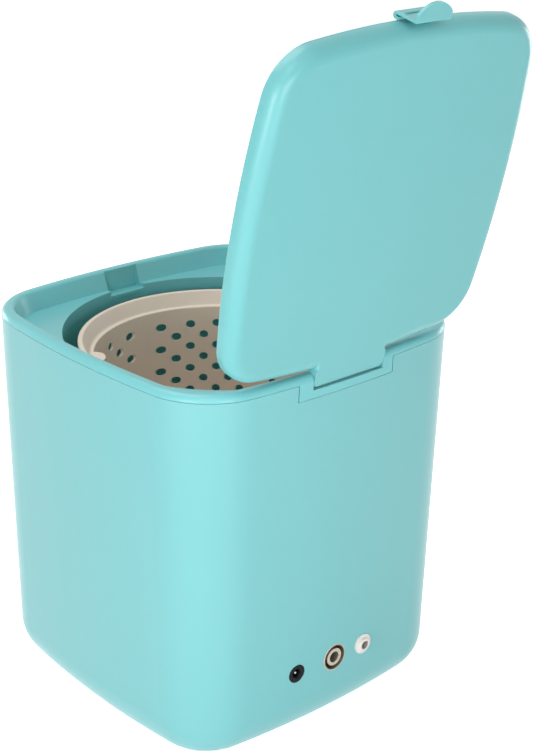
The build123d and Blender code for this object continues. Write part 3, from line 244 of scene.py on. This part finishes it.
# The screws, under the base, in the lid and inside, are zinc-plated steel. Their plating is
# bright and slightly cloudy, and the turned heads show fine rings.
cloud_size = 0.004
ring_roughness = 0.16
bright_edge = 1.25
turning, turning_in, turning_out = new_effect(
    "turning_marks", {"Centre_X": 0.0, "Centre_Y": 0.0, "Pitch": 0.0004}, ("Rings", "Cloud"))
turning_place = turning.nodes.new("ShaderNodeTexCoord").outputs["Object"]
turning_split = turning.nodes.new("ShaderNodeSeparateXYZ")
turning.links.new(turning_place, turning_split.inputs[0])
turning_x = sum_of(turning, "SUBTRACT", turning_split.outputs["X"], turning_in.outputs["Centre_X"])
turning_y = sum_of(turning, "SUBTRACT", turning_split.outputs["Y"], turning_in.outputs["Centre_Y"])
turning_reach = sum_of(turning, "SQRT", sum_of(
    turning, "MULTIPLY_ADD", turning_x, turning_x,
    sum_of(turning, "MULTIPLY", turning_y, turning_y)), 0.0)
turning_ring = turning.nodes.new("ShaderNodeCombineXYZ")
turning.links.new(sum_of(turning, "DIVIDE", turning_reach, turning_in.outputs["Pitch"]),
                  turning_ring.inputs["X"])
turning.links.new(sum_of(turning, "DIVIDE", turning_split.outputs["Z"],
                         turning_in.outputs["Pitch"]), turning_ring.inputs["Y"])
turning_rings = noise(turning, turning_ring.outputs[0], size=1.0, detail=3, roughness=0.7)
turning.links.new(turning_rings, turning_out.inputs["Rings"])
turning_cloud = noise(turning, turning_place, cloud_size, detail=4, roughness=0.6)
turning.links.new(turning_cloud, turning_out.inputs["Cloud"])


def turned_metal(name, colour, dull, rough, centre=(0, 0), pitch=0.0004, depth=0.000004):
    """Metal with fine rings from turning or rolling, cloudy patches and bright edges."""
    material = bpy.data.materials.new(name)
    material.use_nodes = True
    tree = material.node_tree
    shader = tree.nodes["Principled BSDF"]
    shader.inputs["Metallic"].default_value = 1
    marks = use_effect(tree, turning, Centre_X=centre[0], Centre_Y=centre[1], Pitch=pitch)
    rub_of = use_effect(tree, rub, Width=0.0003, Patchiness=0.3)
    body = blend_colour(tree, marks["Cloud"], colour, dull)
    bright = [min(1, channel * bright_edge) for channel in colour[:3]] + [1]
    tree.links.new(blend_colour(tree, rub_of["Edge"], body, bright), shader.inputs["Base Color"])
    ringed = sum_of(tree, "MULTIPLY_ADD", marks["Rings"], ring_roughness,
                    rough - ring_roughness / 2)
    tree.links.new(ringed, shader.inputs["Roughness"])
    raise_bump(tree, shader, marks["Rings"], depth)
    return material


zinc_plate = turned_metal("zinc_plate", screen_colour(186, 189, 192), screen_colour(164, 168, 172),
                          rough=0.34)
for screws in ("base_screws", "lid_screws", "tub_screws", "housing_screws", "bracket_screws",
               "board_screws"):
    finish_node(screws, zinc_plate)


# The top frame is a second turquoise moulding: rim, sloped recess for the lid, deck round
# the tub's mouth, latch pocket at the front and hinge ears at the back.
# Its turquoise is a little bluer and less red than the shell's, as a painted tint for the bounce
# light inside the recess.
frame_plastic_painted_bounce = moulded("frame_plastic_painted_bounce", screen_colour(115, 189, 192),
                        screen_colour(110, 185, 189), turquoise_worn, **polished)
finish_node("top_frame", frame_plastic_painted_bounce)


# The hinge pin is a plain steel rod pushed through the frame's ears and the lid's knuckle.
# Little of it can be seen, in the gaps beside the knuckle.
pin_steel = turned_metal("pin_steel", screen_colour(196, 197, 198), screen_colour(176, 178, 180),
                         rough=0.28)
finish_node("hinge_pin", pin_steel)


# The lid is a shallow turquoise cap with its knuckle moulded on, and a flatter liner that
# closes it from inside, held by four screws.
lid_plastic = moulded("lid_plastic", screen_colour(111, 184, 186), screen_colour(107, 180, 183),
                      turquoise_worn, **polished)
finish_node("lid_cover", lid_plastic)
liner_plastic = moulded("liner_plastic", screen_colour(113, 186, 188),
                        screen_colour(108, 181, 184), turquoise_worn,
                        gloss=0.38, haze=0.08, ripple=0.000015)
finish_node("lid_liner", liner_plastic)


# The latch is a bent spring strip in the lid's own plastic, with a half-round finger tab and
# a small ridge across its outer side. It reaches into the frame's pocket when the lid shuts.
finish_node("lid_latch", lid_plastic)


# The wash tub is a turquoise bucket that hangs from the frame. Its wall is what shows as
# the dark ring round the basket, and a soft gasket seals its flange.
tub_plastic = moulded("tub_plastic", screen_colour(102, 199, 199), screen_colour(97, 194, 194),
                      turquoise_worn, gloss=0.4, haze=0.1, ripple=0.00002)
finish_node("wash_tub", tub_plastic)
gasket_rubber = soft_rubber("gasket_rubber", screen_colour(104, 178, 177),
                            screen_colour(128, 182, 180))
finish_node("tub_gasket", gasket_rubber)
seal_rubber = soft_rubber("seal_rubber", screen_colour(52, 53, 56), screen_colour(96, 95, 92))
finish_node("shaft_seal", seal_rubber)


# The bearing housing is a stiff grey moulding screwed under the tub. It holds the two ball
# bearings that the basket's steel shaft runs in.
grey_plastic = moulded("grey_plastic", screen_colour(168, 170, 173), screen_colour(158, 161, 165),
                       screen_colour(190, 192, 194), gloss=0.5, haze=0.12, ripple=0.00003)
finish_node("bearing_housing", grey_plastic)
bearing_steel = turned_metal("bearing_steel", screen_colour(200, 201, 203),
                             screen_colour(182, 184, 187), rough=0.24, pitch=0.0003)
for piece in ("upper_bearing", "lower_bearing", "drive_shaft", "pulley_nut"):
    finish_node(piece, bearing_steel)


# The spin basket is moulded in warm grey-beige polypropylene with a satin skin. Its nut is
# the same plastic, and the hub under its floor is the machinery's grey.
basket_plastic = moulded("basket_plastic", screen_colour(228, 212, 196),
                         screen_colour(222, 204, 187), screen_colour(238, 225, 211),
                         gloss=0.46, haze=0.1, ripple=0.00002, edge=0.0006)
finish_node("spin_basket", basket_plastic)
finish_node("basket_nut", basket_plastic)
finish_node("drive_hub", grey_plastic)


# The drive is a rubber belt from a small motor pulley to a large one on the shaft. Both
# pulleys are grey nylon, and the belt is flat black rubber.
finish_node("driven_pulley", grey_plastic)
finish_node("motor_pulley", grey_plastic)
belt_rubber = soft_rubber("belt_rubber", screen_colour(34, 34, 36), screen_colour(70, 69, 67))
finish_node("drive_belt", belt_rubber)


# The motor is a small brushed motor in a drawn steel can with a black end cap. It hangs
# from a pressed steel plate on three grey posts below the bearing housing.
motor_place = (-0.04384, -0.04384)
can_steel = turned_metal("can_steel", screen_colour(190, 192, 194), screen_colour(170, 173, 176),
                         rough=0.36, centre=motor_place)
bracket_steel = turned_metal("bracket_steel", screen_colour(178, 181, 184),
                             screen_colour(158, 162, 166), rough=0.42, pitch=0.0006)
for piece in ("motor_can", "motor_shaft"):
    finish_node(piece, can_steel)
finish_node("motor_bracket", bracket_steel)
finish_node("motor_screws", zinc_plate)
finish_node("bracket_posts", grey_plastic)
black_plastic = moulded("black_plastic", screen_colour(20, 25, 30), screen_colour(14, 18, 22),
                        screen_colour(46, 52, 58), gloss=0.34, haze=0.12, ripple=0.00001,
                        edge=0.0003, shine=0.1)
finish_node("motor_end_cap", black_plastic)


# The armature is a stack of steel laminations wound with enamelled copper wire. The wire
# shows as fine bands round the stack.
copper_windings = turned_metal("copper_windings", screen_colour(186, 118, 74),
                               screen_colour(150, 92, 58), rough=0.36, centre=motor_place,
                               pitch=0.0009, depth=0.00012)
finish_node("motor_armature", copper_windings)


# The control board is green fibreglass with a few plain blocks for its parts, held by two
# screws behind the front wall. A black push switch stands on it, behind the button.
finish_node("control_board", moulded(
    "board_laminate", screen_colour(34, 96, 58), screen_colour(28, 84, 50),
    screen_colour(140, 150, 110), gloss=0.32, haze=0.08, ripple=0.00002, edge=0.0003))
finish_node("button_switch", black_plastic)


# The power button is a white cap with a frosted light ring, in the middle of the front.
# The cap slides in the ring and presses the switch behind it.
button_plastic = moulded("button_plastic", screen_colour(228, 229, 228),
                         screen_colour(223, 224, 224), screen_colour(240, 240, 240),
                         gloss=0.24, haze=0.06, ripple=0.000006, edge=0.0004)
ring_plastic = moulded("ring_plastic", screen_colour(206, 220, 222), screen_colour(200, 215, 218),
                       screen_colour(226, 236, 238), gloss=0.45, haze=0.08, ripple=0.00001,
                       edge=0.0004)
finish_node("power_button", button_plastic)
finish_node("button_ring", ring_plastic)


# The power inlet is a round black socket with a bright centre pin, fixed by a nut from
# inside. One lead runs from it to the board, and another from the board to the motor.
finish_node("dc_jack", black_plastic)
finish_node("dc_jack_nut", black_plastic)
jack_place = (0.0325, 0.11)
jack_pin_metal = turned_metal("jack_pin_metal", screen_colour(206, 204, 200),
                              screen_colour(182, 180, 176), rough=0.26, centre=jack_place)
finish_node("dc_jack_pin", jack_pin_metal)
lead_rubber = soft_rubber("lead_rubber", screen_colour(30, 30, 32), screen_colour(70, 69, 68), 0.5)
finish_node("jack_lead", lead_rubber)
finish_node("motor_lead", lead_rubber)


# The drain outlet is a beige fitting, darker than the basket: a flange with a deep round
# recess, and a tube in the middle that the drain hose pushes on to. The recess and the
# bore are painted a dark brown as shade, in speckled patches.
# Painted shade for the ports: darker below a port's face and from its tube's edge out to the reach,
# in speckled patches.
shade_sharpness = 3500.0
shade_grain = 0.0015
shade_spread = 0.3
shade_least = 0.72
shade_group, shade_in, shade_out = new_effect(
    "port_painted_shade", {"Centre_X": 0.0, "Centre_Z": 0.0, "Face": 0.0, "Depth": 0.0005,
                   "Tube": 0.01, "Reach": 0.005}, ("Shade",))
shade_place = shade_group.nodes.new("ShaderNodeTexCoord").outputs["Object"]
shade_split = shade_group.nodes.new("ShaderNodeSeparateXYZ")
shade_group.links.new(shade_place, shade_split.inputs[0])
shade_x = sum_of(shade_group, "SUBTRACT", shade_split.outputs["X"], shade_in.outputs["Centre_X"])
shade_z = sum_of(shade_group, "SUBTRACT", shade_split.outputs["Z"], shade_in.outputs["Centre_Z"])
shade_radius = sum_of(shade_group, "SQRT", sum_of(shade_group, "MULTIPLY_ADD", shade_x, shade_x,
                                            sum_of(shade_group, "MULTIPLY", shade_z, shade_z)), 0.0)
shade_within = sum_of(shade_group, "LESS_THAN", shade_radius, shade_in.outputs["Reach"])
shade_down = sum_of(shade_group, "SUBTRACT", shade_in.outputs["Face"], shade_split.outputs["Y"])
shade_below = sum_of(shade_group, "SUBTRACT", shade_down, shade_in.outputs["Depth"])
shade_edge = sum_of(shade_group, "MULTIPLY", shade_below, shade_sharpness, clamp=True)
shade_beyond = sum_of(shade_group, "GREATER_THAN", shade_radius, shade_in.outputs["Tube"])
shade_where = sum_of(shade_group, "MAXIMUM", shade_edge, shade_beyond)
shade_speck = noise(shade_group, shade_place, shade_grain, detail=3)
shade_patch = sum_of(shade_group, "MULTIPLY_ADD", shade_speck, shade_spread, shade_least, clamp=True)
shade_share = sum_of(shade_group, "MULTIPLY", shade_where, shade_patch)
shade_group.links.new(sum_of(shade_group, "MULTIPLY", shade_within, shade_share), shade_out.inputs["Shade"])


def shade_port(material, node, tube, reach, brown):
    """Paints shade into a port's bore below its face, and on all from the tube's edge out to the
    reach.
    """
    low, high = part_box(node)
    tree = material.node_tree
    shader = tree.nodes["Principled BSDF"]
    clean = shader.inputs["Base Color"].links[0].from_socket
    mask = use_effect(tree, shade_group, Centre_X=(low[0] + high[0]) / 2,
                      Centre_Z=(low[2] + high[2]) / 2, Face=high[1], Tube=tube,
                      Reach=reach)["Shade"]
    tree.links.new(blend_colour(tree, mask, clean, brown), shader.inputs["Base Color"])


drain_plastic = moulded("drain_plastic", screen_colour(193, 183, 168), screen_colour(184, 173, 157),
                        screen_colour(204, 195, 181), gloss=0.4, haze=0.1, ripple=0.000012,
                        edge=0.0004)
finish_node("drain_nut", drain_plastic)
# The drain's recess and bore get painted shade in dark brown.
drain_painted_shade = drain_plastic.copy()
drain_painted_shade.name = "drain_painted_shade"
drain_tube_edge = 0.0062
drain_shade_edge = 0.00875
shade_port(drain_painted_shade, "drain_outlet", drain_tube_edge, drain_shade_edge,
           screen_colour(86, 78, 60))
finish_node("drain_outlet", drain_painted_shade)


# The water inlet is a white nozzle with a small flange. Clear silicone hoses join both
# fittings to the tub inside.
white_plastic = moulded("white_plastic", screen_colour(224, 219, 215), screen_colour(218, 214, 210),
                        screen_colour(238, 235, 232), gloss=0.3, haze=0.08, ripple=0.000008,
                        edge=0.0004)
finish_node("inlet_nut", white_plastic)
# The inlet's bore is painted a darker grey-brown as shade.
white_painted_shade = white_plastic.copy()
white_painted_shade.name = "white_painted_shade"
inlet_shade_edge = 0.0032
shade_port(white_painted_shade, "inlet_fitting", inlet_shade_edge, inlet_shade_edge,
           screen_colour(160, 152, 144))
finish_node("inlet_fitting", white_painted_shade)
hose_rubber = soft_rubber("hose_rubber", screen_colour(206, 207, 203), screen_colour(180, 180, 174),
                          0.42)
finish_node("drain_hose", hose_rubber)
finish_node("inlet_hose", hose_rubber)


# The floor is a wide pale sheet. It glows to the camera and in reflections, so it shows
# white there, and keeps the soft shadow that the machine throws on it.
def seen_rays(tree):
    """Gives 1 to rays that show a surface, straight or in a reflection, and 0 to its light."""
    path = tree.nodes.new("ShaderNodeLightPath")
    mirrored = sum_of(tree, "MAXIMUM", path.outputs["Is Glossy Ray"],
                      path.outputs["Is Transmission Ray"])
    return sum_of(tree, "MAXIMUM", path.outputs["Is Camera Ray"], mirrored)


seen_glow = 0.72
floor_reach = 6
floor_grey = (0.86, 0.86, 0.86, 1)
floor_roughness = 0.9
floor_mesh = bpy.data.meshes.new("floor")
floor_form = bmesh.new()
bmesh.ops.create_grid(floor_form, x_segments=1, y_segments=1, size=floor_reach)
floor_form.to_mesh(floor_mesh)
floor_form.free()
floor = bpy.data.objects.new("floor", floor_mesh)
bpy.context.scene.collection.objects.link(floor)
floor_paint = bpy.data.materials.new("floor_paint")
floor_paint.use_nodes = True
floor_tree = floor_paint.node_tree
floor_shader = floor_tree.nodes["Principled BSDF"]
floor_shader.inputs["Base Color"].default_value = floor_grey
floor_shader.inputs["Roughness"].default_value = floor_roughness
floor_glow = floor_tree.nodes.new("ShaderNodeEmission")
floor_tree.links.new(sum_of(floor_tree, "MULTIPLY", seen_rays(floor_tree), seen_glow),
                     floor_glow.inputs["Strength"])
floor_both = floor_tree.nodes.new("ShaderNodeAddShader")
floor_tree.links.new(floor_shader.outputs[0], floor_both.inputs[0])
floor_tree.links.new(floor_glow.outputs[0], floor_both.inputs[1])
floor_tree.links.new(floor_both.outputs[0], floor_tree.nodes["Material Output"].inputs["Surface"])
floor_mesh.materials.append(floor_paint)


# The light is a white room and six soft boxes: two stand low beside the corner nearest to
# the camera, two fill in the front and the far side, and two hang above to light the basket.
world = bpy.data.worlds.new("room")
bpy.context.scene.world = world
world.use_nodes = True
room_light = 0.32
room_tree = world.node_tree
room = room_tree.nodes["Background"]
room_tree.links.new(sum_of(room_tree, "MULTIPLY_ADD", seen_rays(room_tree), 1 - room_light,
                           room_light), room.inputs["Strength"])
room.inputs["Color"].default_value = (1, 1, 1, 1)


def soft_box(name, stand, target, size, watts):
    """A square soft box that points at a spot on the machine."""
    data = bpy.data.lights.new(name, "AREA")
    data.shape = "SQUARE"
    data.size = size
    data.energy = watts
    lamp = bpy.data.objects.new(name, data)
    bpy.context.scene.collection.objects.link(lamp)
    lamp.location = stand
    lamp.rotation_mode = "QUATERNION"
    lamp.rotation_quaternion = (Vector(target) - Vector(stand)).to_track_quat("-Z", "Y")


low_size = 0.5
high_size = 0.8
casing_middle = (0, 0, 0.15)
basket_mouth = (0, 0, 0.2)
soft_box("left_box", (1.02, 0.5, 0.3), casing_middle, low_size, 5.9)
soft_box("right_box", (0.32, 1.12, 0.3), casing_middle, low_size, 4.6)
soft_box("front_box", (0.25, -1.3, 0.25), casing_middle, low_size, 4.2)
soft_box("far_box", (-1.3, 0.1, 0.25), casing_middle, low_size, 3.6)
soft_box("over_box", (0.2, -0.3, 1.3), basket_mouth, high_size, 7.0)
soft_box("high_box", (0.8, 0.9, 1.5), basket_mouth, high_size, 3.5)

bpy.context.scene.view_settings.view_transform = "Standard"
